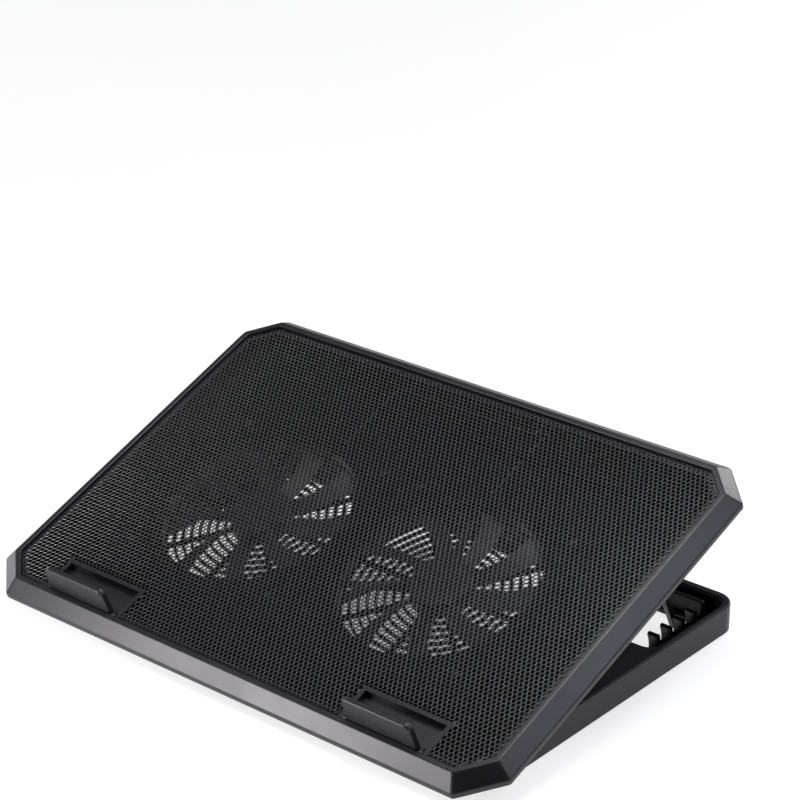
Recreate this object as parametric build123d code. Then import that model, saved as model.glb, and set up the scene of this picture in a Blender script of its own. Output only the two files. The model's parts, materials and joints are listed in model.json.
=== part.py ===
from build123d import *
import math
import os

# Laptop cooling pad, millimetres and degrees. +X is across, +Y is towards the rear and +Z is up. The
# origin is on the desk, under the middle of the whole object's box.
#
# Two frames are used. Base pieces are drawn from the base's bottom face, with y = 0 at its front face.
# Pad pieces are drawn flat, with z = 0 on the rim's top face and y = 0 at the rim's front edge, and
# are then tilted about the main hinge.

# Driving dimensions
TILT = 20.75                    # pad above the base, prop in the rear-most teeth
RIM_WIDTH = 350.2               # outside of the rim's top face
RIM_DEPTH = 240.2
RIM_CHAMFER = 16.3              # leg of the cut corners
RIM_LAND = 3.1                  # flat top of the rim, outside the mesh
RIM_THICKNESS = 3.6
FLARE = 7.9                     # how far the side walls spread
FLARE_DROP = 7.1
SKIRT_DEPTH = 10.0
WALL = 2.5
CORNER_ROUND = 3.0              # between two side walls
CREASE_ROUND = 1.6
SKIRT_ROUND = 1.2
LIP_ROUND = 0.6                 # rim's inner edge

BASE_WIDTH = 339.0
BASE_DEPTH = 236.3
BASE_HEIGHT = 16.3
BASE_REAR = 122.15              # part frame
BASE_CORNER = 13.0              # rear corners
BASE_CUT = 20.3                 # front corners
FOOT_PROUD = 1.5
FOOT_INSET = 1.0
FOOT_RADIUS = 6.0
FRONT_BOSS_TOP = 12.0
OPENING_WIDTH = 298.0
OPENING_FRONT = 39.0
OPENING_REAR = 220.0
RECESS_FRONT = 159.0
RECESS_REAR = 230.5
RECESS_WIDTH = 331.0
LIP_STEP = 1.2                  # shallow step round the top of the recess
LIP_DROP = 0.8
FLOOR = 2.5
NOSE_HEIGHT = 9.08              # base's sloped front, at its front face
NOSE_SLOPE = 0.36

# Main hinge
HINGE_BACK = 20.0               # pad frame, behind the rim's front edge
HINGE_DROP = 12.0               # pad frame, under the rim's top face
HINGE_Y = 19.95                 # base frame
HINGE_Z = 10.39
HINGE_X = 148.0
PIN_RADIUS = 2.0
RUNNING_GAP = 0.05
KNUCKLE_RADIUS = 4.2
KNUCKLE_LENGTH = 11.0
LUG_THICKNESS = 4.2
LUG_GAP = 0.3
LUG_HALF = 7.0
LUG_RISE = 4.0                  # over the pin's axis
KNUCKLE_SWEEP = 7.15            # room in front of the pin for the closing knuckle

# Mesh and laptop stops
MESH_TOP = -1.5
MESH_THICKNESS = 0.8
MESH_GAP = 0.2                  # round the stop pockets
MESH_SEAM = 1.1                 # open groove between the rim and the mesh
LEDGE = 4.0
STOP_X = 109.5
STOP_WIDTH = 48.0
STOP_TOP_WIDTH = 45.0
STOP_HEIGHT = 15.5
STOP_THICKNESS = 4.0
STOP_CORNER = 4.0
STOP_EDGE = 1.3
STOP_AXIS = (5.2, -2.6)         # y and z of the fold axis, pad frame
STOP_PIN_RADIUS = 1.0
STOP_PIN_LENGTH = 58.0
POCKET_FRONT = 2.9
POCKET_REAR = 24.3
POCKET_WIDTH = 54.0
POCKET_FLOOR = -5.0
POCKET_BOTTOM = -5.8
POCKET_RIM = -1.2
POCKET_PLAY = 0.4               # beside the stop's round foot

# Tray and fan box
DECK_TOP = -RIM_THICKNESS
DECK_BOTTOM = -5.6
DECK_GROW = 1.0                 # deck outline outside the rim's outline
BOX_HALF = 134.0
BOX_FRONT = 44.0
BOX_REAR = 176.0
BOX_BOTTOM = -16.0
BOX_FLOOR = -14.4
BOX_WALL = 2.0
RIB_WALL = 2.0                  # ribs on the deck, up to the mesh
SIDE_SCREW_X = 173.5
REAR_SCREW_Y = 239.3

# Fans, 120 mm class
FAN_X = 66.0
FAN_Y = 108.0
FAN_SIZE = 120.0
FAN_TOP = DECK_BOTTOM
FAN_BOTTOM = -14.1
FAN_BORE = 57.5
HUB_RADIUS = 18.0
HUB_PLATE_TOP = -12.7
TUBE_RADIUS = 4.5
TUBE_TOP = -8.0
BEARING_RADIUS = 3.5
SHAFT_RADIUS = 1.5
ROTOR_TOP = -6.2
ROTOR_CAP = 1.4
ROTOR_BOTTOM = -12.4
BLADE_TIP = 56.0
BLADE_RISE = 4.6
BLADE_Z = -9.35
BLADES = 9
FAN_SCREW_PITCH = 105.0
SLOT_WIDTH = 3.4                # ring slots of the grille
SLOT_PITCH = 5.0
SLOT_FIRST = 20.0               # middle radius of the smallest slot
SLOT_COUNT = 8
SPOKE_WIDTH = 3.0
STRUT_WIDTH = 5.0               # struts of the fan's frame
STRUT_TURN = 20.0

# Prop
PROP_BACK = 187.0               # pivot, pad frame
PROP_DROP = 15.0
PROP_LENGTH = 68.6
PROP_LEAN = 4.45                # behind the pad's normal
PROP_X = 146.6
PROP_WIDTH = 4.0
PROP_FOOT = 2.2
PROP_BOSS = 4.5
PROP_NECK = 2.6                 # half width of the arm under its boss
PROP_EDGE = 1.0
PROP_LUG = 6.0
PROP_LUG_FOOT = 12.0            # reach of the lug's foot along Y

# Teeth on the base
TEETH_REAR = 213.8              # rear-most tooth, base frame
TOOTH_PITCH = 11.87
TEETH = 4
TOOTH_TOP = 13.2
TOOTH_WIDTH = 6.4
TOOTH_TIP = 1.5                 # radius of the rolled tip
TOOTH_LEAN = 1.2                # tip's reach towards the front
RIB_Y = 224.4
RIB_HALF = 153.5
RIB_THICKNESS = 3.0
RIB_TOP = 13.3

# Electrics
INLET_X = 50.0
SOCKET_MOUTH = 247.3
SOCKET_Z = -8.2
SOCKET_WIDTH = 9.0
SOCKET_HEIGHT = 3.2
SOCKET_DEPTH = 8.8
SOCKET_WALL = 0.3
TONGUE_WIDTH = 6.6
TONGUE_THICKNESS = 0.7
BOARD_WIDTH = 20.0
BOARD_FRONT = 236.8
BOARD_REAR = 243.4
BOARD_THICKNESS = 1.0
LEAD_RADIUS = 0.7
LEAD_Z = -4.3
LEAD_X = 53.0
LEAD_TURN = 224.0               # where the left fan's lead crosses the deck
LEAD_START = 240.8
LEAD_DROP = 171.5               # where a lead goes down behind the fan
LEAD_LOW = -11.5
GROOVE_WIDTH = 3.0
SCREW_RADIUS = 1.0

BASE_FRAME = Pos(0, BASE_REAR - BASE_DEPTH, FOOT_PROUD)
PAD_FRAME = (
    BASE_FRAME * Pos(0, HINGE_Y, HINGE_Z) * Rot(TILT, 0, 0) * Pos(0, -HINGE_BACK, HINGE_DROP)
)


def block(x, y, z):
    """Box from three (low, high) pairs."""
    size = [high - low for low, high in (x, y, z)]
    middle = [(high + low) / 2 for low, high in (x, y, z)]
    return Pos(*middle) * Box(*size)


def slab(sketch, low, high):
    """Sketch on XY made solid from z = low to z = high."""
    return Pos(0, 0, low) * extrude(sketch, high - low)


def cylinder_x(radius, x, y, z):
    """Cylinder along X between the pair x."""
    centre = Pos((x[0] + x[1]) / 2, y, z)
    return centre * Rot(0, 90, 0) * Cylinder(radius, x[1] - x[0])


def profile_x(points, x):
    """Outline in the YZ plane, made solid between the pair x."""
    face = Plane.YZ * make_face(Polyline(*points, close=True))
    return Pos(x[0], 0, 0) * extrude(face, x[1] - x[0], dir=(1, 0, 0))


def pair(side, low, high):
    """The (low, high) pair on the given side of the middle plane."""
    return tuple(sorted((side * low, side * high)))


def outline(grow, corner=0.0):
    """Cut-corner outline of the rim, moved out by grow, with its corners rounded."""
    leg = RIM_CHAMFER + (2 - math.sqrt(2)) * grow
    plan = Rectangle(RIM_WIDTH + 2 * grow, RIM_DEPTH + 2 * grow)
    plan = chamfer(plan.vertices(), leg)
    if corner > 0:
        plan = fillet(plan.vertices(), corner)
    return Pos(0, RIM_DEPTH / 2, 0) * plan


def flared(low, high, corner=0.0):
    """Solid whose walls slope between two outlines, each given as a (grow, height) pair."""
    return loft([Pos(0, 0, height) * outline(grow, corner) for grow, height in (low, high)], ruled=True)


# Pad: bezel, mesh and stops

def pocket_block(side, gap, low, high):
    """Outside of the moulded pocket that a stop folds into."""
    half = POCKET_WIDTH / 2 + WALL + gap
    x = pair(side, STOP_X - half, STOP_X + half)
    return block(x, (POCKET_FRONT - WALL, POCKET_REAR + WALL + gap), (low, high))


def stop_pin(side):
    x = pair(side, STOP_X - STOP_PIN_LENGTH / 2, STOP_X + STOP_PIN_LENGTH / 2)
    return cylinder_x(STOP_PIN_RADIUS, x, *STOP_AXIS)


def screw_places():
    """Where the tray is screwed to the rim: four down each side and three along the rear."""
    sides = [(side * SIDE_SCREW_X, y) for side in (-1, 1) for y in (40, 95, 150, 205)]
    return sides + [(x, REAR_SCREW_Y) for x in (-110, 0, 110)]


def inlet_notch():
    half = SOCKET_WIDTH / 2 + 0.3
    top = SOCKET_Z + SOCKET_HEIGHT / 2 + 0.3
    return block((INLET_X - half, INLET_X + half), (243, 249), (-SKIRT_DEPTH - 1, top))


def top_bezel():
    shell = flared((FLARE, -FLARE_DROP), (0, 0), CORNER_ROUND)
    shell += slab(outline(FLARE, CORNER_ROUND), -SKIRT_DEPTH, -FLARE_DROP)
    level = shell.edges().filter_by(lambda edge: abs(edge.tangent_at(0.5).Z) < 0.1)
    creases = level.group_by(Axis.Z)[1:]
    shell = fillet([edge for group in creases for edge in group], CREASE_ROUND)
    wall_at_ledge = FLARE * RIM_THICKNESS / FLARE_DROP - WALL - 0.3
    shell -= flared((FLARE - WALL, -FLARE_DROP), (wall_at_ledge, -RIM_THICKNESS))
    shell -= slab(outline(FLARE - WALL), -SKIRT_DEPTH - 1, -FLARE_DROP)
    shell -= slab(outline(-RIM_LAND, CORNER_ROUND), MESH_TOP - MESH_THICKNESS, 1)
    land = shell.faces().sort_by(Axis.Z)[-1]
    shell = fillet(land.inner_wires()[0].edges(), LIP_ROUND)
    shell -= slab(outline(-RIM_LAND - LEDGE), -RIM_THICKNESS - 1, 1)
    for side in (-1, 1):
        shell += pocket_block(side, 0, POCKET_BOTTOM, POCKET_RIM)
        half = POCKET_WIDTH / 2
        x = pair(side, STOP_X - half, STOP_X + half)
        shell -= block(x, (POCKET_FRONT, POCKET_REAR), (POCKET_FLOOR, 1))
        shell -= stop_pin(side)
    for x, y in screw_places():
        shell -= Pos(x, y, 0) * tray_screw()
    return shell - inlet_notch()


def mesh_panel():
    panel = slab(outline(-RIM_LAND - MESH_SEAM, CORNER_ROUND), MESH_TOP - MESH_THICKNESS, MESH_TOP)
    for side in (-1, 1):
        panel -= pocket_block(side, MESH_GAP, -20, 1)
    return panel


def laptop_stop(side):
    """Upright plate on a round foot that turns on its pin."""
    y, z = STOP_AXIS
    half, top_half = STOP_WIDTH / 2, STOP_TOP_WIDTH / 2
    corners = [(-half, z), (half, z), (top_half, STOP_HEIGHT), (-top_half, STOP_HEIGHT)]
    face = make_face(Polyline(*corners, close=True))
    face = fillet(face.vertices().group_by(Axis.Y)[-1], STOP_CORNER)
    plate = Plane.XZ.offset(-y - STOP_THICKNESS / 2) * extrude(face, STOP_THICKNESS)
    plate = fillet(plate.edges().filter_by(lambda edge: edge.center().Z > z + 0.1), STOP_EDGE)
    foot_half = POCKET_WIDTH / 2 - POCKET_PLAY
    plate += cylinder_x(STOP_THICKNESS / 2, (-foot_half, foot_half), y, z)
    bore = cylinder_x(STOP_PIN_RADIUS + RUNNING_GAP, (-foot_half - 1, foot_half + 1), y, z)
    return Pos(side * STOP_X, 0, 0) * (plate - bore)


# Pad: tray

def cross_recess(low, high):
    return slab(Rectangle(2.2, 0.5) + Rectangle(0.5, 2.2), low, high)


def tray_screw():
    """Pan-head screw up through the deck into the rim."""
    head_bottom = DECK_BOTTOM - 1.5
    head = slab(Circle(2.0), head_bottom, DECK_BOTTOM)
    head = fillet(head.edges().group_by(Axis.Z)[0], 0.5)
    head -= cross_recess(head_bottom - 1, head_bottom + 0.8)
    return head + slab(Circle(SCREW_RADIUS), DECK_BOTTOM, -1.2)


def tray_screws():
    return Compound([Pos(x, y, 0) * tray_screw() for x, y in screw_places()])


def fan_screw():
    """Flat-head screw down through the deck into a corner of the fan."""
    return slab(Circle(2.2), DECK_TOP, DECK_TOP + 1.2) + slab(Circle(SCREW_RADIUS), -11, DECK_TOP)


def fan_screw_places():
    half = FAN_SCREW_PITCH / 2
    return [
        (side * FAN_X + dx, FAN_Y + dy) for side in (-1, 1) for dx in (-half, half) for dy in (-half, half)
    ]


def fan_screws():
    return Compound([Pos(x, y, 0) * fan_screw() for x, y in fan_screw_places()])


def grille():
    """Ring slots under one fan, kept apart by eight spokes."""
    radii = [SLOT_FIRST + i * SLOT_PITCH for i in range(SLOT_COUNT)]
    half = SLOT_WIDTH / 2
    rings = Sketch() + [Circle(radius + half) - Circle(radius - half) for radius in radii]
    spokes = [Rot(0, 0, 45 * i) * Rectangle(FAN_SIZE, SPOKE_WIDTH) for i in range(4)]
    return rings - spokes


def hinge_knuckle(side):
    """Hanging eye of the main hinge."""
    half = KNUCKLE_LENGTH / 2
    x = pair(side, HINGE_X - half, HINGE_X + half)
    y = (HINGE_BACK - KNUCKLE_RADIUS, HINGE_BACK + KNUCKLE_RADIUS)
    eye = cylinder_x(KNUCKLE_RADIUS, x, HINGE_BACK, -HINGE_DROP) + block(x, y, (-HINGE_DROP, DECK_BOTTOM))
    return eye - cylinder_x(PIN_RADIUS + RUNNING_GAP, (x[0] - 1, x[1] + 1), HINGE_BACK, -HINGE_DROP)


def prop_lug(side):
    """Hanging eye that carries the prop's shaft, braced towards the fan box."""
    inner = PROP_X - PROP_WIDTH / 2 - 1.2 - PROP_LUG
    x = pair(side, inner, inner + PROP_LUG)
    y = (PROP_BACK - PROP_BOSS, PROP_BACK + PROP_BOSS)
    eye = cylinder_x(PROP_BOSS, x, PROP_BACK, -PROP_DROP) + block(x, y, (-PROP_DROP, DECK_BOTTOM))
    foot_y = (PROP_BACK - PROP_LUG_FOOT, PROP_BACK + PROP_LUG_FOOT)
    foot = block(x, foot_y, (DECK_BOTTOM - 2, DECK_BOTTOM))
    bore = cylinder_x(PIN_RADIUS + RUNNING_GAP, (x[0] - 1, x[1] + 1), PROP_BACK, -PROP_DROP)
    return eye + foot - bore


def lead_route(side):
    """Centre line of a fan's lead, from the board to the fan's rear face."""
    start = INLET_X + side * (LEAD_X - INLET_X)
    end = side * LEAD_X
    points = [(start, LEAD_START, LEAD_Z)]
    radii = []
    if side < 0:
        points += [(start, LEAD_TURN, LEAD_Z), (end, LEAD_TURN, LEAD_Z)]
        radii += [2.5, 2.5]
    points += [(end, LEAD_DROP, LEAD_Z), (end, LEAD_DROP, LEAD_LOW), (end, FAN_Y + FAN_SIZE / 2, LEAD_LOW)]
    return FilletPolyline(*points, radius=radii + [1.6, 1.6])


def fan_lead(side):
    route = lead_route(side)
    return sweep(Plane(route @ 0, z_dir=route % 0) * Circle(LEAD_RADIUS), path=route)


def lead_grooves():
    """Channels in the deck's top face, with a drop hole beside each fan."""
    z = (LEAD_Z - LEAD_RADIUS - 0.1, DECK_TOP + 0.1)
    left = 2 * INLET_X - LEAD_X
    half = GROOVE_WIDTH / 2
    low, turn, rear = LEAD_DROP - half, LEAD_TURN - half, LEAD_START + 1
    cuts = [
        block((LEAD_X - half, LEAD_X + half), (low, rear), z),
        block((left - half, left + half), (turn, rear), z),
        block((-LEAD_X - half, left + half), (turn, LEAD_TURN + half), z),
        block((-LEAD_X - half, -LEAD_X + half), (low, LEAD_TURN + half), z),
    ]
    drops = [block((x - half, x + half), (low, LEAD_DROP + half), (-8, -3)) for x in (-LEAD_X, LEAD_X)]
    return cuts + drops


def bottom_tray():
    box = block((-BOX_HALF, BOX_HALF), (BOX_FRONT, BOX_REAR), (BOX_BOTTOM, DECK_BOTTOM))
    box = fillet(box.edges().filter_by(Axis.Z), 5.0)
    box = fillet(box.edges().group_by(Axis.Z)[0], 1.5)
    tray = slab(outline(DECK_GROW), DECK_BOTTOM, DECK_TOP) + box
    inside_x = (-BOX_HALF + BOX_WALL, BOX_HALF - BOX_WALL)
    tray -= block(inside_x, (BOX_FRONT + BOX_WALL, BOX_REAR - BOX_WALL), (BOX_FLOOR, DECK_BOTTOM))
    mesh_bottom = MESH_TOP - MESH_THICKNESS
    half = RIB_WALL / 2
    front, rear = BOX_FRONT - 11, BOX_REAR + 29
    for x in (-BOX_HALF - 1, 0, BOX_HALF + 1):
        tray += block((x - half, x + half), (front, rear), (DECK_TOP, mesh_bottom))
    for y in (front, rear):
        tray += block((-BOX_HALF - 26, BOX_HALF + 26), (y - half, y + half), (DECK_TOP, mesh_bottom))
    for side in (-1, 1):
        tray -= Pos(side * FAN_X, FAN_Y, 0) * slab(Circle(FAN_BORE - 0.5), DECK_BOTTOM - 0.1, 0)
        tray -= Pos(side * FAN_X, FAN_Y, 0) * slab(grille(), BOX_BOTTOM - 1, BOX_FLOOR + 0.1)
        tray -= pocket_block(side, 0.3, -20, 1)
        half = POCKET_WIDTH / 2 + WALL + 0.3
        tray -= block(pair(side, STOP_X - half, STOP_X + half), (-5, POCKET_REAR), (-20, 1))
        tray += hinge_knuckle(side) + prop_lug(side)
    tray -= lead_grooves()
    for x, y in screw_places():
        tray -= Pos(x, y, 0) * slab(Circle(SCREW_RADIUS), -20, 0)
    for x, y in fan_screw_places():
        tray -= Pos(x, y, 0) * slab(Circle(SCREW_RADIUS), DECK_BOTTOM - 1, 0)
    return tray


# Pad: fans

def fan_frame(side):
    plan = fillet(Rectangle(FAN_SIZE, FAN_SIZE).vertices(), 6.0)
    frame = slab(plan - Circle(FAN_BORE), FAN_BOTTOM, FAN_TOP)
    strut = Rectangle(2 * FAN_BORE + 4, STRUT_WIDTH)
    struts = Sketch() + [Rot(0, 0, 90 * i + STRUT_TURN) * strut for i in range(2)]
    frame += slab(Circle(HUB_RADIUS) + struts, FAN_BOTTOM, HUB_PLATE_TOP)
    frame += slab(Circle(TUBE_RADIUS), HUB_PLATE_TOP, TUBE_TOP)
    frame -= slab(Circle(BEARING_RADIUS), HUB_PLATE_TOP, 0)
    frame = Pos(side * FAN_X, FAN_Y, 0) * frame
    for x, y in fan_screw_places():
        frame -= Pos(x, y, 0) * slab(Circle(SCREW_RADIUS), -11, 0)
    return frame


def fan_bearing(side):
    ring = Circle(BEARING_RADIUS) - Circle(SHAFT_RADIUS + RUNNING_GAP)
    return Pos(side * FAN_X, FAN_Y, 0) * slab(ring, HUB_PLATE_TOP, TUBE_TOP)


def fan_coil(side):
    """Four-pole stator: a core with a coil round each pole."""
    core = Circle(7.0) + [Rot(0, 0, 90 * i) * Pos(9, 0) * Rectangle(8, 3.0) for i in range(4)]
    poles = [Rot(0, 0, 90 * i) * Pos(13, 0) * Rectangle(2.0, 12.0) for i in range(4)]
    iron = slab(core + poles - Circle(TUBE_RADIUS), -11.4, -9.8)
    coils = [Rot(0, 0, 90 * i) * Pos(9.4, 0, -10.6) * Box(4.6, 6.6, 4.0) for i in range(4)]
    stator = (iron + coils) - slab(Circle(TUBE_RADIUS), -20, 0)
    return Pos(side * FAN_X, FAN_Y, 0) * stator


def fan_shaft(side):
    return Pos(side * FAN_X, FAN_Y, 0) * slab(Circle(SHAFT_RADIUS), HUB_PLATE_TOP + 0.2, ROTOR_TOP - 0.4)


def fan_blade():
    """Twisted blade, steep at the hub and flat at the tip."""
    sections = []
    for radius, pitch, sweep_angle in ((HUB_RADIUS - 0.8, 32, 0), (37, 25, 7), (BLADE_TIP, 17, 16)):
        chord = BLADE_RISE / math.sin(math.radians(pitch))
        section = Plane.YZ * Rot(0, 0, pitch) * Rectangle(chord, 1.0)
        sections.append(Rot(0, 0, sweep_angle) * Pos(radius, 0, BLADE_Z) * section)
    return loft(sections)


def fan_rotor(side):
    cup = slab(Circle(HUB_RADIUS), ROTOR_BOTTOM, ROTOR_TOP)
    cup = fillet(cup.edges().group_by(Axis.Z)[-1], 0.8)
    cup -= slab(Circle(HUB_RADIUS - 1.5), ROTOR_BOTTOM, ROTOR_TOP - ROTOR_CAP)
    cup -= slab(Circle(SHAFT_RADIUS), ROTOR_BOTTOM, ROTOR_TOP - 0.4)
    blade = fan_blade()
    for i in range(BLADES):
        cup += Rot(0, 0, 360 * i / BLADES) * blade
    return Pos(side * FAN_X, FAN_Y, 0) * cup


# Pad: electrics

def power_board():
    x = (INLET_X - BOARD_WIDTH / 2, INLET_X + BOARD_WIDTH / 2)
    return block(x, (BOARD_FRONT, BOARD_REAR), (DECK_BOTTOM - BOARD_THICKNESS, DECK_BOTTOM))


def power_inlet():
    """Small oval socket, open to the rear, with its contact tongue."""
    middle = Pos(INLET_X, SOCKET_Z)
    outside = middle * SlotOverall(SOCKET_WIDTH, SOCKET_HEIGHT)
    inside = middle * SlotOverall(SOCKET_WIDTH - 2 * SOCKET_WALL, SOCKET_HEIGHT - 2 * SOCKET_WALL)
    shell = Plane.XZ.offset(-SOCKET_MOUTH) * extrude(outside, SOCKET_DEPTH)
    shell -= Plane.XZ.offset(-SOCKET_MOUTH - 1) * extrude(inside, SOCKET_DEPTH - 1)
    x = (INLET_X - TONGUE_WIDTH / 2, INLET_X + TONGUE_WIDTH / 2)
    z = (SOCKET_Z - TONGUE_THICKNESS / 2, SOCKET_Z + TONGUE_THICKNESS / 2)
    return shell + block(x, (SOCKET_MOUTH - SOCKET_DEPTH + 1, SOCKET_MOUTH - 1), z)


# Prop

def prop_arm(side):
    """Flat arm from the shaft to its rounded foot."""
    neck = Pos(0, -PROP_BOSS) * Circle(PROP_NECK)
    foot = Pos(0, -PROP_LENGTH) * Circle(PROP_FOOT)
    taper = Circle(PROP_BOSS) + make_hull((neck + foot).edges())
    arm = Plane.YZ.offset(-PROP_WIDTH / 2) * extrude(taper, PROP_WIDTH)
    arm = fillet(arm.edges().filter_by(Plane.YZ), PROP_EDGE)
    arm -= cylinder_x(PIN_RADIUS, (-PROP_WIDTH, PROP_WIDTH), 0, 0)
    return Pos(side * PROP_X, PROP_BACK, -PROP_DROP) * Rot(PROP_LEAN, 0, 0) * arm


def prop_shaft():
    end = PROP_X + PROP_WIDTH / 2
    return cylinder_x(PIN_RADIUS, (-end, end), PROP_BACK, -PROP_DROP)


# Base

def base_plan(inset):
    """Outline of the base: round rear corners, cut front corners."""
    plan = Rectangle(BASE_WIDTH - 2 * inset, BASE_DEPTH - 2 * inset)
    plan = fillet(plan.vertices().group_by(Axis.Y)[-1], BASE_CORNER - inset)
    leg = BASE_CUT - (2 - math.sqrt(2)) * inset
    plan = chamfer(plan.vertices().group_by(Axis.Y)[0], leg)
    return Pos(0, BASE_DEPTH / 2, 0) * plan


def above_nose(drop):
    """Everything above the sloped front, drop below its surface."""
    front, rear = -20, 60
    top = 60
    low, high = (NOSE_HEIGHT - drop + y * NOSE_SLOPE for y in (front, rear))
    points = [(front, low), (rear, high), (rear, top), (front, top)]
    return profile_x(points, (-BASE_WIDTH, BASE_WIDTH))


def rounded_opening(width, front, rear, radius):
    plan = Pos(0, (front + rear) / 2) * Rectangle(width, rear - front)
    return fillet(plan.vertices(), radius)


def tooth(side, y):
    """Ratchet tooth: hooked blade that leans to the front, with a rolled tip."""
    foot = FLOOR - 0.5
    tip = (y - TOOTH_LEAN + TOOTH_TIP, TOOTH_TOP - TOOTH_TIP)
    hollow = ThreePointArc((y + 0.6, foot), (y + 0.4, (foot + tip[1]) / 2), (tip[0] - TOOTH_TIP, tip[1]))
    roll = ThreePointArc(hollow @ 1, (tip[0], TOOTH_TOP), (tip[0] + TOOTH_TIP, tip[1]))
    outline_lines = [hollow, roll, Line(roll @ 1, (y + 4.6, foot)), Line((y + 4.6, foot), hollow @ 0)]
    face = Plane.YZ * make_face(outline_lines)
    low, high = pair(side, OPENING_WIDTH / 2, OPENING_WIDTH / 2 + TOOTH_WIDTH)
    return Pos(low, 0, 0) * extrude(face, high - low, dir=(1, 0, 0))


def hinge_lugs(side):
    """Two ribs inside the front bar that hold the hinge pin."""
    lugs = []
    inner = KNUCKLE_LENGTH / 2 + LUG_GAP
    for direction in (-1, 1):
        low, high = sorted((direction * inner, direction * (inner + LUG_THICKNESS)))
        x = pair(side, HINGE_X + low, HINGE_X + high)
        rib = block(x, (HINGE_Y - LUG_HALF, HINGE_Y + LUG_HALF), (0, HINGE_Z + LUG_RISE))
        lugs.append(rib - above_nose(1.0))
    return lugs


def hinge_pin(side):
    half = KNUCKLE_LENGTH / 2 + LUG_GAP + LUG_THICKNESS
    return cylinder_x(PIN_RADIUS, pair(side, HINGE_X - half, HINGE_X + half), HINGE_Y, HINGE_Z)


def foot_places():
    return {
        "foot_front_left": (-118, 21),
        "foot_front_right": (118, 21),
        "foot_rear_left": (-157.5, 198),
        "foot_rear_right": (157.5, 198),
    }


def rubber_foot(place):
    disc = slab(Circle(FOOT_RADIUS), -FOOT_PROUD, FOOT_INSET)
    disc = fillet(disc.edges().group_by(Axis.Z)[0], 0.6)
    return Pos(place[0], place[1], 0) * disc


def base_frame():
    body = slab(base_plan(0), 0, BASE_HEIGHT) - above_nose(0)
    tops = body.faces().filter_by(lambda face: face.normal_at().Z > 0.5)
    body = fillet(tops.edges(), 1.0)
    opening = rounded_opening(OPENING_WIDTH, OPENING_FRONT, OPENING_REAR, 2.0)
    body -= slab(opening, -1, 20)
    walls = rounded_opening(OPENING_WIDTH + 2 * WALL, OPENING_FRONT - WALL, OPENING_REAR + WALL, 4.0)
    keep = Pos(0, RECESS_FRONT - WALL + BASE_DEPTH / 2) * Rectangle(BASE_WIDTH, BASE_DEPTH)
    hollow = base_plan(WALL) - walls - keep
    body -= slab(hollow, -1, BASE_HEIGHT - WALL) - above_nose(WALL + 0.2)
    recess = rounded_opening(RECESS_WIDTH, RECESS_FRONT, RECESS_REAR, 8.0)
    body -= slab(recess, FLOOR, BASE_HEIGHT + 1)
    body -= slab(offset(recess, LIP_STEP), BASE_HEIGHT - LIP_DROP, BASE_HEIGHT + 1)
    rib = block((-RIB_HALF, RIB_HALF), (RIB_Y, RIB_Y + RIB_THICKNESS), (FLOOR - 0.5, RIB_TOP))
    rib = fillet(rib.edges().filter_by(Axis.Z), RIB_THICKNESS / 2 - 0.1)
    body += fillet(rib.edges().group_by(Axis.Z)[-1], RIB_THICKNESS / 2 - 0.2)
    for side in (-1, 1):
        for i in range(TEETH):
            body += tooth(side, TEETH_REAR - i * TOOTH_PITCH)
        half = KNUCKLE_LENGTH / 2 + LUG_GAP
        notch_y = (HINGE_Y - KNUCKLE_SWEEP, HINGE_Y + KNUCKLE_RADIUS + 0.85)
        body -= block(pair(side, HINGE_X - half, HINGE_X + half), notch_y, (3, BASE_HEIGHT + 4))
        body += hinge_lugs(side)
        body -= hinge_pin(side)
    for x, y in foot_places().values():
        boss_top = FRONT_BOSS_TOP if y < OPENING_FRONT else FLOOR
        body += Pos(x, y, 0) * slab(Circle(FOOT_RADIUS + 2), 0, boss_top)
        body -= Pos(x, y, 0) * slab(Circle(FOOT_RADIUS), -1, FOOT_INSET)
    return body


# Every node, in the frame that it is drawn in

base_nodes = {"base_frame": base_frame()}
for name, place in foot_places().items():
    base_nodes[name] = rubber_foot(place)

pad_nodes = {
    "top_bezel": top_bezel(),
    "mesh_panel": mesh_panel(),
    "bottom_tray": bottom_tray(),
    "tray_screws": tray_screws(),
    "fan_screws": fan_screws(),
    "power_board": power_board(),
    "power_inlet": power_inlet(),
    "prop_shaft": prop_shaft(),
}
for label, side in (("left", -1), ("right", 1)):
    base_nodes[f"hinge_pin_{label}"] = hinge_pin(side)
    pad_nodes[f"stop_{label}"] = laptop_stop(side)
    pad_nodes[f"stop_pin_{label}"] = stop_pin(side)
    pad_nodes[f"fan_frame_{label}"] = fan_frame(side)
    pad_nodes[f"fan_bearing_{label}"] = fan_bearing(side)
    pad_nodes[f"fan_coil_{label}"] = fan_coil(side)
    pad_nodes[f"fan_rotor_{label}"] = fan_rotor(side)
    pad_nodes[f"fan_shaft_{label}"] = fan_shaft(side)
    pad_nodes[f"fan_lead_{label}"] = fan_lead(side)
    pad_nodes[f"prop_arm_{label}"] = prop_arm(side)

os.makedirs("parts", exist_ok=True)
for frame, nodes in ((BASE_FRAME, base_nodes), (PAD_FRAME, pad_nodes)):
    for name, shape in nodes.items():
        export_step(frame * shape, f"parts/{name}.step")

for title, place in (
    ("main hinge", BASE_FRAME * Pos(0, HINGE_Y, HINGE_Z)),
    ("stop fold", PAD_FRAME * Pos(STOP_X, *STOP_AXIS)),
    ("fan axis", PAD_FRAME * Pos(FAN_X, FAN_Y, ROTOR_TOP)),
    ("prop pivot", PAD_FRAME * Pos(0, PROP_BACK, -PROP_DROP)),
    ("mesh centre", PAD_FRAME * Pos(0, RIM_DEPTH / 2, MESH_TOP)),
    ("inlet mouth", PAD_FRAME * Pos(INLET_X, SOCKET_MOUTH, SOCKET_Z)),
):
    print(title, [round(value, 3) for value in place.position])
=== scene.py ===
"""Looks for the laptop cooling pad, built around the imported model. Metres, +Z up, rear at +Y."""
import json
import math

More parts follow.
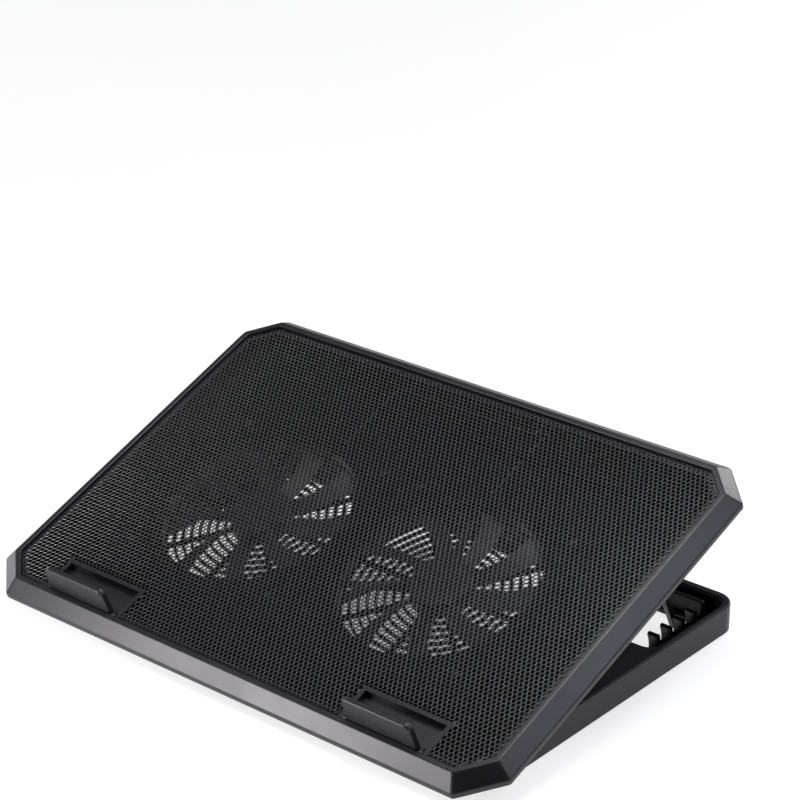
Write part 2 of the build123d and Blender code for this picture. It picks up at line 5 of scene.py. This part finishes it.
import bpy
import numpy as np
from mathutils import Matrix, Vector, geometry


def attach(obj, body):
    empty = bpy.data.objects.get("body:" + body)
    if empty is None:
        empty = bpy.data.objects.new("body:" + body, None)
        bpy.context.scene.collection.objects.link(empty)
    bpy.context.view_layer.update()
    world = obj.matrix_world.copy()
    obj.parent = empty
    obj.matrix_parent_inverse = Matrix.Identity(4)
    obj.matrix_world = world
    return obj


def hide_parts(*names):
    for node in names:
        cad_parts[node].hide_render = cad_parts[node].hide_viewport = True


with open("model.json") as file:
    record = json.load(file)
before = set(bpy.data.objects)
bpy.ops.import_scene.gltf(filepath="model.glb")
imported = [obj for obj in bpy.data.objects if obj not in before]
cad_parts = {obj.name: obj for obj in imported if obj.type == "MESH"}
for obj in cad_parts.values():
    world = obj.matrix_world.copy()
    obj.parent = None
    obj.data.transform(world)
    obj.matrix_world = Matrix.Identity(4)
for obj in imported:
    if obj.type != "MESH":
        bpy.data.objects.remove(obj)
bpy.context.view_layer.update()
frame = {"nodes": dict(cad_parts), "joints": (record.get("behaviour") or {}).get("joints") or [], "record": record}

MM = 0.001
JOINTS = {joint["name"]: joint for joint in frame["joints"]}
SPIN_AXIS = Vector(JOINTS["fan_left_spin"]["axis"])
TILT = math.atan2(-SPIN_AXIS.y, SPIN_AXIS.z)
LEVEL = Matrix.Rotation(-TILT, 3, "X")      # turns the pad flat
UNLEVEL = LEVEL.inverted()

# Punched mesh, mm
HOLE_PITCH = 2.97
HOLE_FLAT = 2.5                             # across the flats of a hole
HOLE_BEVEL = 0.1
HOLE_INSET = 0.12                           # web left along the sheet's edge
SMALLEST_HOLE = 0.4                         # least area of a cut hole, mm2
SHEET_PIECES = 3
SAME_HEIGHT = 0.01
LEAST_TURN = 0.01                           # an outline point that turns less is on a straight, mm2
JOIN_DISTANCE = 1e-5
BLOCK = 400                                 # places weighed against all centres at a time

# Floor
FLOOR_HALF = 8.0                            # m
FLOOR_GLOW = 0.75
FLOOR_SHADE = 0.22                          # glow left under the middle of the deck, in the painted shadow
SHADE_SCALE = (5.2, 7.4, 1.0)               # 1 over the half sizes of the painted shadow patch, m
SHADE_INNER = 0.25                          # where the fade starts and ends, of those half sizes
SHADE_OUTER = 1.05

# Camera
CAMERA_PLACE = (0.83937, -0.96620, 0.70121)
CAMERA_YAW = 40.1275
CAMERA_PITCH = -24.0189
CAMERA_LENS = 116.397
CAMERA_SHIFT = (0.0024, 0.0006)

# Room: each dark quarter has its direction, the cosines where it starts and is full, and its level
ROOM_LEVEL = 0.55
ROOM_COLOUR = (0.94, 0.96, 1.0, 1)
DARK_QUARTERS = (
    ((0.37, -0.70, 0.61), 0.40, 0.93, 0.0),
    ((-0.62, 0.65, 0.44), 0.75, 0.97, 0.25),
)

# Lamps: name, place, aim, width, height, radiance and colour
LAMPS = (
    ("key_front", (-0.25, -0.52, 0.16), (0.03, -0.12, 0.03), 0.24, 0.22, 17.0, (1.0, 0.97, 0.99)),
    ("fill_left", (-1.75, 0.10, 0.22), (-0.17, -0.10, 0.03), 0.8, 0.45, 4.5, (1.0, 1.0, 1.0)),
    ("rim_rear", (0.06, 1.75, 0.88), (0.17, 0.11, 0.11), 0.5, 0.4, 12.0, (1.0, 1.0, 1.0)),
    ("overhead", (0.08, 0.10, 0.72), (0.10, 0.00, 0.06), 0.40, 0.26, 10.0, (1.0, 1.0, 1.0)),
    ("side_right", (0.53, 0.12, 0.50), (0.18, -0.01, 0.06), 0.26, 0.22, 4.1, (0.82, 0.82, 1.0)),
)

# Colours of the moulded black plastic: plain, and where it is rubbed
BLACK = (0.0045, 0.0043, 0.0062)
BLACK_RUBBED = (0.0135, 0.013, 0.018)


# Node-building helpers

def new_material(name):
    """Material with a bare Principled shader; gives the material, its tree and the shader."""
    material = bpy.data.materials.new(name)
    material.use_nodes = True
    tree = material.node_tree
    return material, tree, tree.nodes["Principled BSDF"]


def add_node(tree, kind, inputs=None, **settings):
    node = tree.nodes.new("ShaderNode" + kind)
    for key, value in settings.items():
        setattr(node, key, value)
    for key, value in (inputs or {}).items():
        if isinstance(value, bpy.types.NodeSocket):
            tree.links.new(value, node.inputs[key])
        else:
            node.inputs[key].default_value = value
    return node


def noise(tree, scale, detail=2.0, roughness=0.5):
    place = add_node(tree, "TexCoord").outputs["Object"]
    inputs = {"Vector": place, "Scale": scale, "Detail": detail, "Roughness": roughness}
    return add_node(tree, "TexNoise", inputs).outputs["Fac"]


def spread(tree, value, low, high, out_low, out_high):
    inputs = {"Value": value, "From Min": low, "From Max": high, "To Min": out_low, "To Max": out_high}
    return add_node(tree, "MapRange", inputs).outputs["Result"]


def maths(tree, first, second, operation="MULTIPLY"):
    """Product of two values, or what the named operation makes of them."""
    return add_node(tree, "Math", {0: first, 1: second}, operation=operation).outputs["Value"]


def edge_mask(tree, radius):
    """1 on corners rounder than the faces around them, 0 on flat faces."""
    soft = add_node(tree, "Bevel", {"Radius": radius}, samples=4).outputs["Normal"]
    plain = add_node(tree, "NewGeometry").outputs["Normal"]
    same = add_node(tree, "VectorMath", {0: soft, 1: plain}, operation="DOT_PRODUCT").outputs["Value"]
    return spread(tree, same, 0.995, 0.86, 0.0, 1.0)


def mix_colour(tree, factor, first, second):
    mixer = add_node(tree, "Mix", {"Factor": factor}, data_type="RGBA")
    for socket, value in ((mixer.inputs[6], first), (mixer.inputs[7], second)):
        socket.default_value = (*value, 1)
    return mixer.outputs[2]


def connect_bump(tree, shader, height, strength, distance):
    bump = add_node(tree, "Bump", {"Strength": strength, "Distance": distance, "Height": height})
    tree.links.new(bump.outputs["Normal"], shader.inputs["Normal"])


# Materials

def moulded_plastic(name, dark, light, roughness, grain, depth, wear=0.5, specular=0.5):
    """Spark-textured moulding: fine grain, slow shade changes and corners rubbed a little brighter."""
    material, tree, shader = new_material(name)
    cloud = noise(tree, 28.0, 4.0)
    fine = noise(tree, 1 / (grain * MM), 3.0, 0.6)
    coarse = noise(tree, 0.33 / (grain * MM), 2.0)
    edge = edge_mask(tree, 0.9 * MM)
    rub = maths(tree, edge, spread(tree, noise(tree, 190.0, 5.0), 0.38, 0.66, 0.25, 1.0))
    shade = maths(tree, spread(tree, cloud, 0.3, 0.7, 0.0, 0.45), maths(tree, rub, wear), "ADD")
    shade = maths(tree, shade, spread(tree, fine, 0.3, 0.7, -0.12, 0.12), "ADD")
    tree.links.new(mix_colour(tree, shade, dark, light), shader.inputs["Base Color"])
    rough = spread(tree, cloud, 0.3, 0.7, roughness - 0.03, roughness + 0.03)
    rough = maths(tree, rough, spread(tree, fine, 0.3, 0.7, -0.03, 0.03), "ADD")
    rough = maths(tree, rough, maths(tree, rub, 0.06), "SUBTRACT")
    tree.links.new(rough, shader.inputs["Roughness"])
    height = maths(tree, fine, maths(tree, coarse, 0.6), "ADD")
    connect_bump(tree, shader, height, 0.55, depth * MM)
    shader.inputs["Specular IOR Level"].default_value = specular
    return material


def powder_coat(name, dark, light):
    """Thin black coat over steel, with a slight orange peel."""
    material, tree, shader = new_material(name)
    peel = noise(tree, 2600.0, 2.0)
    fine = noise(tree, 900.0, 3.0)
    coat = mix_colour(tree, spread(tree, fine, 0.3, 0.7, 0, 1), dark, light)
    tree.links.new(coat, shader.inputs["Base Color"])
    tree.links.new(spread(tree, fine, 0.3, 0.7, 0.27, 0.33), shader.inputs["Roughness"])
    connect_bump(tree, shader, peel, 0.35, 0.02 * MM)
    shader.inputs["Specular IOR Level"].default_value = 1.0
    shader.inputs["Coat Weight"].default_value = 0.8
    shader.inputs["Coat Roughness"].default_value = 0.22
    return material


def drawn_metal(name, dark, light, roughness, grain_axis=(1.0, 1.0, 1.0)):
    """Bare metal with faint drawing lines."""
    material, tree, shader = new_material(name)
    place = add_node(tree, "TexCoord").outputs["Object"]
    stretched = add_node(tree, "Mapping", {"Vector": place, "Scale": grain_axis}).outputs["Vector"]
    streaks = {"Vector": stretched, "Scale": 900.0, "Detail": 3.0}
    lines = add_node(tree, "TexNoise", streaks).outputs["Fac"]
    metal = mix_colour(tree, spread(tree, lines, 0.3, 0.7, 0, 1), dark, light)
    tree.links.new(metal, shader.inputs["Base Color"])
    low, high = roughness - 0.06, roughness + 0.06
    tree.links.new(spread(tree, lines, 0.3, 0.7, low, high), shader.inputs["Roughness"])
    connect_bump(tree, shader, lines, 0.3, 0.01 * MM)
    shader.inputs["Metallic"].default_value = 1.0
    return material


def metal_with_painted_hollow_shade(name, dark, light, roughness, grain_axis, reach):
    """Bare metal with painted shade: its colour turns dark inside a hollow narrower than the reach."""
    material = drawn_metal(name, dark, light, roughness, grain_axis)
    tree = material.node_tree
    colour = tree.nodes["Principled BSDF"].inputs["Base Color"]
    metal = colour.links[0].from_socket
    # painted shade: occlusion scales the metal colour down to black deep inside the hollow
    sight = add_node(tree, "AmbientOcclusion", {"Distance": reach}, samples=8, only_local=True)
    openness = spread(tree, sight.outputs["AO"], 0.45, 0.9, 0.0, 1.0)
    shaded = add_node(tree, "VectorMath", {0: metal, "Scale": openness}, operation="SCALE")
    tree.links.new(shaded.outputs["Vector"], colour)
    return material


def matt_rubber(name, dark, light):
    material, tree, shader = new_material(name)
    dust = noise(tree, 420.0, 5.0, 0.65)
    rubber = mix_colour(tree, spread(tree, dust, 0.35, 0.7, 0, 1), dark, light)
    tree.links.new(rubber, shader.inputs["Base Color"])
    tree.links.new(spread(tree, dust, 0.3, 0.7, 0.62, 0.82), shader.inputs["Roughness"])
    connect_bump(tree, shader, noise(tree, 1500.0, 3.0), 0.5, 0.05 * MM)
    return material


def solder_mask(name):
    material, tree, shader = new_material(name)
    place = add_node(tree, "TexCoord").outputs["Object"]
    cells = add_node(tree, "TexVoronoi", {"Vector": place, "Scale": 700.0}, distance="CHEBYCHEV")
    tracks = spread(tree, cells.outputs["Distance"], 0.36, 0.42, 0.0, 1.0)
    green, pale = (0.006, 0.05, 0.02), (0.02, 0.11, 0.045)
    tree.links.new(mix_colour(tree, tracks, green, pale), shader.inputs["Base Color"])
    tree.links.new(spread(tree, noise(tree, 300.0), 0.3, 0.7, 0.2, 0.32), shader.inputs["Roughness"])
    connect_bump(tree, shader, tracks, 0.4, 0.03 * MM)
    return material


def floor_paper(name):
    """Back-lit white paper, whose glow fades under the deck into a painted soft shadow."""
    material, tree, shader = new_material(name)
    patch = noise(tree, 3.0, 3.0)
    paper = mix_colour(tree, patch, (0.36, 0.36, 0.363), (0.42, 0.42, 0.423))
    tree.links.new(paper, shader.inputs["Base Color"])
    tree.links.new(spread(tree, noise(tree, 40.0), 0.3, 0.7, 0.55, 0.65), shader.inputs["Roughness"])
    shader.inputs["Specular IOR Level"].default_value = 0.2
    place = add_node(tree, "TexCoord").outputs["Object"]
    # painted shadow: the floor's glow falls off towards the middle of the deck's footprint
    scaled = add_node(tree, "Mapping", {"Vector": place, "Scale": SHADE_SCALE}).outputs["Vector"]
    away = add_node(tree, "VectorMath", {0: scaled}, operation="LENGTH").outputs["Value"]
    fade = {
        "Value": away, "From Min": SHADE_INNER, "From Max": SHADE_OUTER,
        "To Min": FLOOR_SHADE, "To Max": FLOOR_GLOW,
    }
    glow = add_node(tree, "MapRange", fade, interpolation_type="SMOOTHSTEP").outputs["Result"]
    shader.inputs["Emission Color"].default_value = (1.0, 1.0, 1.0, 1)
    tree.links.new(glow, shader.inputs["Emission Strength"])
    return material


MATERIALS = {
    "housing_plastic": moulded_plastic("housing", BLACK, BLACK_RUBBED, 0.36, 0.45, 0.07),
    "base_plastic": moulded_plastic("base_shell", BLACK, BLACK_RUBBED, 0.38, 0.45, 0.07, specular=0.24),
    # tray: colour darkened almost to black and specular lowered, as painted shade of the deep hollow under the
    # mesh
    "tray_plastic": moulded_plastic(
        "tray", (0.0008, 0.0008, 0.0009), (0.003, 0.003, 0.0035), 0.7, 0.5, 0.06, specular=0.05
    ),
    "prop_plastic": moulded_plastic("prop", BLACK, BLACK_RUBBED, 0.38, 0.4, 0.05),
    "stop_plastic": moulded_plastic("stop", BLACK, BLACK_RUBBED, 0.38, 0.45, 0.06, specular=0.42),
    "fan_plastic": moulded_plastic(
        "fan_moulding", (0.002, 0.002, 0.0022), (0.006, 0.006, 0.007), 0.45, 0.8, 0.02, specular=0.3
    ),
    "mesh_steel": powder_coat("mesh_coat", (0.006, 0.006, 0.0065), (0.012, 0.012, 0.013)),
    "pin_steel": drawn_metal("pin_metal", (0.42, 0.42, 0.44), (0.6, 0.6, 0.62), 0.28, (0.04, 1, 1)),
    "screw_steel": drawn_metal("screw_metal", (0.035, 0.035, 0.038), (0.08, 0.08, 0.085), 0.34),
    # inlet shell: metal colour with painted shade inside its mouth
    "inlet_metal": metal_with_painted_hollow_shade(
        "inlet_shell", (0.32, 0.32, 0.32), (0.45, 0.45, 0.45), 0.32, (1, 0.05, 1), 3.0 * MM
    ),
    "bearing_brass": drawn_metal("bearing_metal", (0.5, 0.33, 0.12), (0.68, 0.48, 0.2), 0.34),
    "coil_metal": drawn_metal("copper_wire", (0.55, 0.2, 0.08), (0.78, 0.36, 0.17), 0.3, (1, 1, 9)),
    "foot_rubber": matt_rubber("foot", (0.012, 0.012, 0.012), (0.035, 0.034, 0.033)),
    "lead_sleeve": matt_rubber("lead", (0.008, 0.008, 0.009), (0.02, 0.02, 0.021)),
    "board_laminate": solder_mask("board"),
}

SLOTS = {part["node"]: part["material_slot"] for part in frame["record"]["subparts"]}
for node, piece in frame["nodes"].items():
    piece.data.materials.clear()
    piece.data.materials.append(MATERIALS[SLOTS[node]])


# Punched mesh

def sheet_outline(node):
    """Corners of a flat node's top face in the level frame, and its top and bottom heights, in mm."""
    mesh = frame["nodes"][node].data
    points = [LEVEL @ vertex.co / MM for vertex in mesh.vertices]
    top = max(point.z for point in points)
    bottom = min(point.z for point in points)
    plan = [(round(point.x, 2), round(point.y, 2)) for point in points]
    sides = set()
    for face in mesh.polygons:
        if all(points[index].z > top - SAME_HEIGHT for index in face.vertices):
            ring = [plan[index] for index in face.vertices]
            sides.update(zip(ring, ring[1:] + ring[:1]))
    edges = {start: end for start, end in sides if (end, start) not in sides}
    first = min(edges)
    loop = [first]
    while edges[loop[-1]] != first:
        loop.append(edges[loop[-1]])
    corners = []
    for before, here, after in zip(loop[-1:] + loop[:-1], loop, loop[1:] + loop[:1]):
        arrive = (here[0] - before[0], here[1] - before[1])
        leave = (after[0] - here[0], after[1] - here[1])
        if abs(arrive[0] * leave[1] - arrive[1] * leave[0]) > LEAST_TURN:
            corners.append(here)
    return np.array(corners), top, bottom


def edge_distances(points, corners):
    """Distance from each point to each edge of the outline, and each edge's inward normal and offset."""
    starts, ends = corners, np.roll(corners, -1, axis=0)
    along = ends - starts
    length = np.linalg.norm(along, axis=1)
    along = along / length[:, None]
    reach = np.einsum("pei,ei->pe", points[:, None] - starts[None], along).clip(0, length)
    nearest = starts[None] + reach[..., None] * along[None]
    normals = np.stack([-along[:, 1], along[:, 0]], 1)
    distances = np.linalg.norm(points[:, None] - nearest, axis=2)
    return distances, normals, np.einsum("ei,ei->e", normals, starts)


def inside(points, corners):
    """Which points lie inside the outline."""
    starts, ends = corners[None], np.roll(corners, -1, axis=0)[None]
    x, y = points[:, None, 0], points[:, None, 1]
    spans = (starts[..., 1] > y) != (ends[..., 1] > y)
    rise = np.where(ends[..., 1] == starts[..., 1], 1e-9, ends[..., 1] - starts[..., 1])
    cross = starts[..., 0] + (y - starts[..., 1]) * (ends[..., 0] - starts[..., 0]) / rise
    return (spans & (x < cross)).sum(1) % 2 == 1


def clip(polygon, normal, offset):
    """The part of a convex polygon on the inner side of a line."""
    kept = []
    for here, there in zip(polygon, polygon[1:] + polygon[:1]):
        a, b = float(normal @ here) - offset, float(normal @ there) - offset
        if a >= 0:
            kept.append(here)
        if a * b < 0:
            kept.append(here + (there - here) * (a / (a - b)))
    return kept


def area(polygon):
    ring = np.array(polygon)
    x, y = ring[:, 0], ring[:, 1]
    return 0.5 * abs(float(x @ np.roll(y, -1) - y @ np.roll(x, -1)))


class PlanPoints:
    """Plan points of the sheet, shared where they coincide."""

    def __init__(self):
        self.index = {}
        self.places = []

    def add(self, place):
        key = (round(float(place[0]), 3), round(float(place[1]), 3))
        if key not in self.index:
            self.index[key] = len(self.places)
            self.places.append((float(place[0]), float(place[1])))
        return self.index[key]


def hexagon(across):
    """Corners of a hexagon from its size across the flats."""
    turns = np.radians(30 + 60 * np.arange(6))
    return across / math.sqrt(3) * np.stack([np.cos(turns), np.sin(turns)], 1)


CELL = hexagon(HOLE_PITCH)
HOLE = hexagon(HOLE_FLAT)
MOUTH = hexagon(HOLE_FLAT + 2 * HOLE_BEVEL)


def hole_lattice(corners):
    """Hole centres in staggered rows, over the outline and a little past it."""
    row = HOLE_PITCH * math.sqrt(3) / 2
    low, high = corners.min(0) - HOLE_PITCH, corners.max(0) + HOLE_PITCH
    middle = (low + high) / 2
    across = int((high[0] - low[0]) / 2 / HOLE_PITCH) + 1
    deep = int((high[1] - low[1]) / 2 / row) + 1
    return np.array([
        (middle[0] + (column + 0.5 * (line % 2)) * HOLE_PITCH, middle[1] + line * row)
        for line in range(-deep, deep + 1) for column in range(-across, across + 1)
    ])


def plan_whole_holes(centres, points):
    """Web faces round the whole holes, where each mouth corner narrows to, and the outer edges."""
    faces, narrowed, uses = [], {}, {}
    for centre in centres:
        outer = [points.add(centre + corner) for corner in CELL]
        inner = [points.add(centre + corner) for corner in MOUTH]
        for index, corner in zip(inner, HOLE):
            narrowed[index] = tuple(centre + corner)
        for i in range(6):
            j = (i + 1) % 6
            faces.append((outer[i], outer[j], inner[j], inner[i]))
            edge = (min(outer[i], outer[j]), max(outer[i], outer[j]))
            uses[edge] = uses.get(edge, 0) + 1
    return faces, narrowed, [edge for edge, count in uses.items() if count == 1]


def cut_holes(centres, distances, within, normals, offsets):
    """Outlines of the holes that the sheet's edge cuts short."""
    holes = []
    for centre, gaps, held in zip(centres, distances, within):
        shape = [centre + corner for corner in MOUTH]
        for k in np.flatnonzero(gaps < 2 * HOLE_PITCH):
            if held and normals[k] @ centre < offsets[k]:
                continue                    # that edge is round an inner corner
            shape = clip(shape, normals[k], offsets[k] + HOLE_INSET)
            if len(shape) < 3:
                break
        if len(shape) >= 3 and area(shape) > SMALLEST_HOLE:
            holes.append(np.array(shape))
    return holes


def triangulate(edges, rings):
    """Triangles that keep to the given edges and closed rings: their spots and corner numbers."""
    border = PlanPoints()
    lines = []
    for a, b in edges + [side for ring in rings for side in zip(ring, np.roll(ring, -1, axis=0))]:
        a, b = border.add(a), border.add(b)
        if a != b:
            lines.append((a, b))
    spots, _, triangles, *_ = geometry.delaunay_2d_cdt(
        [Vector(place) for place in border.places], lines, [], 0, JOIN_DISTANCE
    )
    return np.array(spots), triangles


def nearest_is_whole(places, centres, whole):
    """Whether the lattice cell that holds each place is a whole one."""
    answer = np.zeros(len(places), bool)
    for start in range(0, len(places), BLOCK):
        part = places[start:start + BLOCK]
        owner = ((part[:, None] - centres[None]) ** 2).sum(2).argmin(1)
        answer[start:start + BLOCK] = whole[owner]
    return answer


def plan_edge_strip(corners, centres, whole, borders, holes):
    """Web triangles between the outline, the whole cells and the cut holes."""
    spots, triangles = triangulate(borders, [corners, *holes])
    middles = np.array([spots[list(face)].mean(0) for face in triangles])
    keep = inside(middles, corners) & ~nearest_is_whole(middles, centres, whole)
    hole_middles = np.array([hole.mean(0) for hole in holes])
    for number in np.flatnonzero(keep):
        place = middles[number]
        near = np.flatnonzero(((hole_middles - place) ** 2).sum(1) < HOLE_PITCH ** 2)
        if any(inside(place[None], holes[k])[0] for k in near):
            keep[number] = False
    return [spots[list(triangles[number])] for number in np.flatnonzero(keep)]


def plan_sheet(corners):
    """Plan of the punched sheet: points, web faces, and where each bevelled hole corner narrows to."""
    centres = hole_lattice(corners)
    distances, normals, offsets = edge_distances(centres, corners)
    nearest = distances.min(1)
    within = inside(centres, corners)
    whole = within & (nearest > HOLE_PITCH / math.sqrt(3) + HOLE_INSET)
    partial = ~whole & (within | (nearest < HOLE_PITCH / 2))

    points = PlanPoints()
    faces, narrowed, outer_edges = plan_whole_holes(centres[whole], points)
    borders = [(points.places[a], points.places[b]) for a, b in outer_edges]
    holes = cut_holes(centres[partial], distances[partial], within[partial], normals, offsets)
    for triangle in plan_edge_strip(corners, centres, whole, borders, holes):
        face = [points.add(spot) for spot in triangle]
        if len(set(face)) == 3:
            faces.append(tuple(face))
    return np.array(points.places), faces, narrowed


def punched_sheet(name, places, faces, narrowed, top, bottom):
    """Closed solid from plan faces: webs, bevelled hole mouths and straight walls."""
    used = sorted({index for face in faces for index in face})
    number = {index: k for k, index in enumerate(used)}
    count = len(used)
    upper = [(*places[index], top) for index in used]
    shoulder = [(*narrowed.get(index, places[index]), top - HOLE_BEVEL) for index in used]
    lower = [(*narrowed.get(index, places[index]), bottom) for index in used]
    directed = set()
    for face in faces:
        directed.update(zip(face, face[1:] + face[:1]))
    solid = []
    for face in faces:
        ring = [number[index] for index in face]
        solid.append(ring)
        solid.append([index + 2 * count for index in reversed(ring)])
    for a, b in sorted(directed):
        if (b, a) in directed:
            continue
        p, q = number[a], number[b]
        if a in narrowed and b in narrowed:
            solid.append([q, p, p + count, q + count])
            solid.append([q + count, p + count, p + 2 * count, q + 2 * count])
        else:
            solid.append([q, p, p + 2 * count, q + 2 * count])
    points = np.array(upper + shoulder + lower) @ np.array(UNLEVEL).T * MM
    mesh = bpy.data.meshes.new(name)
    mesh.from_pydata(points.tolist(), [], solid)
    mesh.validate()
    piece = bpy.data.objects.new(name, mesh)
    bpy.context.scene.collection.objects.link(piece)
    return piece


def make_mesh_deck():
    corners, top, bottom = sheet_outline("mesh_panel")
    places, faces, narrowed = plan_sheet(corners)
    middles = np.array([places[list(face)].mean(0)[0] for face in faces])
    width = corners[:, 0].max() - corners[:, 0].min()
    pitch = HOLE_PITCH * round(width / SHEET_PIECES / HOLE_PITCH)
    for k in range(SHEET_PIECES):
        low = -math.inf if k == 0 else (k - SHEET_PIECES / 2) * pitch
        high = math.inf if k == SHEET_PIECES - 1 else (k + 1 - SHEET_PIECES / 2) * pitch
        chosen = [faces[i] for i in np.flatnonzero((middles >= low) & (middles < high))]
        piece = punched_sheet(f"mesh_sheet_{k + 1}", places, chosen, narrowed, top, bottom)
        piece.data.materials.append(MATERIALS["mesh_steel"])
        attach(piece, "pad")
        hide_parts("mesh_panel")


make_mesh_deck()


# Studio

def add_floor():
    half = FLOOR_HALF
    mesh = bpy.data.meshes.new("floor")
    corners = [(-half, -half, 0), (half, -half, 0), (half, half, 0), (-half, half, 0)]
    mesh.from_pydata(corners, [], [(0, 1, 2, 3)])
    floor = bpy.data.objects.new("floor", mesh)
    bpy.context.scene.collection.objects.link(floor)
    mesh.materials.append(floor_paper("paper"))


def softbox(name, place, aim, width, height, radiance, colour):
    """Area light at a place, facing the point aim; radiance 1 is paper white."""
    light = bpy.data.lights.new(name, "AREA")
    light.shape = "RECTANGLE"
    light.size, light.size_y = width, height
    light.energy = radiance * math.pi * width * height
    light.color = colour
    lamp = bpy.data.objects.new(name, light)
    lamp.location = place
    lamp.rotation_euler = (Vector(place) - Vector(aim)).to_track_quat("Z", "Y").to_euler()
    lamp.visible_camera = False
    bpy.context.scene.collection.objects.link(lamp)


def add_world():
    """Grey room with two dark quarters: up over the camera, and low at the rear left."""
    world = bpy.data.worlds.new("room")
    bpy.context.scene.world = world
    world.use_nodes = True
    tree = world.node_tree
    way = add_node(tree, "TexCoord").outputs["Generated"]
    level = ROOM_LEVEL
    for toward, start, full, depth in DARK_QUARTERS:
        facing = add_node(tree, "VectorMath", {0: way, 1: toward}, operation="DOT_PRODUCT")
        level = maths(tree, spread(tree, facing.outputs["Value"], start, full, 1.0, depth), level)
    back = tree.nodes["Background"]
    back.inputs["Color"].default_value = ROOM_COLOUR
    tree.links.new(level, back.inputs["Strength"])


def add_camera():
    camera = bpy.data.cameras.new("camera")
    camera.lens = CAMERA_LENS
    camera.sensor_width = 36.0
    camera.shift_x, camera.shift_y = CAMERA_SHIFT
    camera.clip_start = 0.05
    eye = bpy.data.objects.new("camera", camera)
    eye.location = CAMERA_PLACE
    eye.rotation_euler = (math.radians(90 + CAMERA_PITCH), 0, math.radians(CAMERA_YAW))
    bpy.context.scene.collection.objects.link(eye)
    bpy.context.scene.camera = eye


add_floor()
add_world()
add_camera()
for lamp in LAMPS:
    softbox(*lamp)

bpy.context.scene.view_settings.view_transform = "Standard"
bpy.context.scene.view_settings.look = "None"
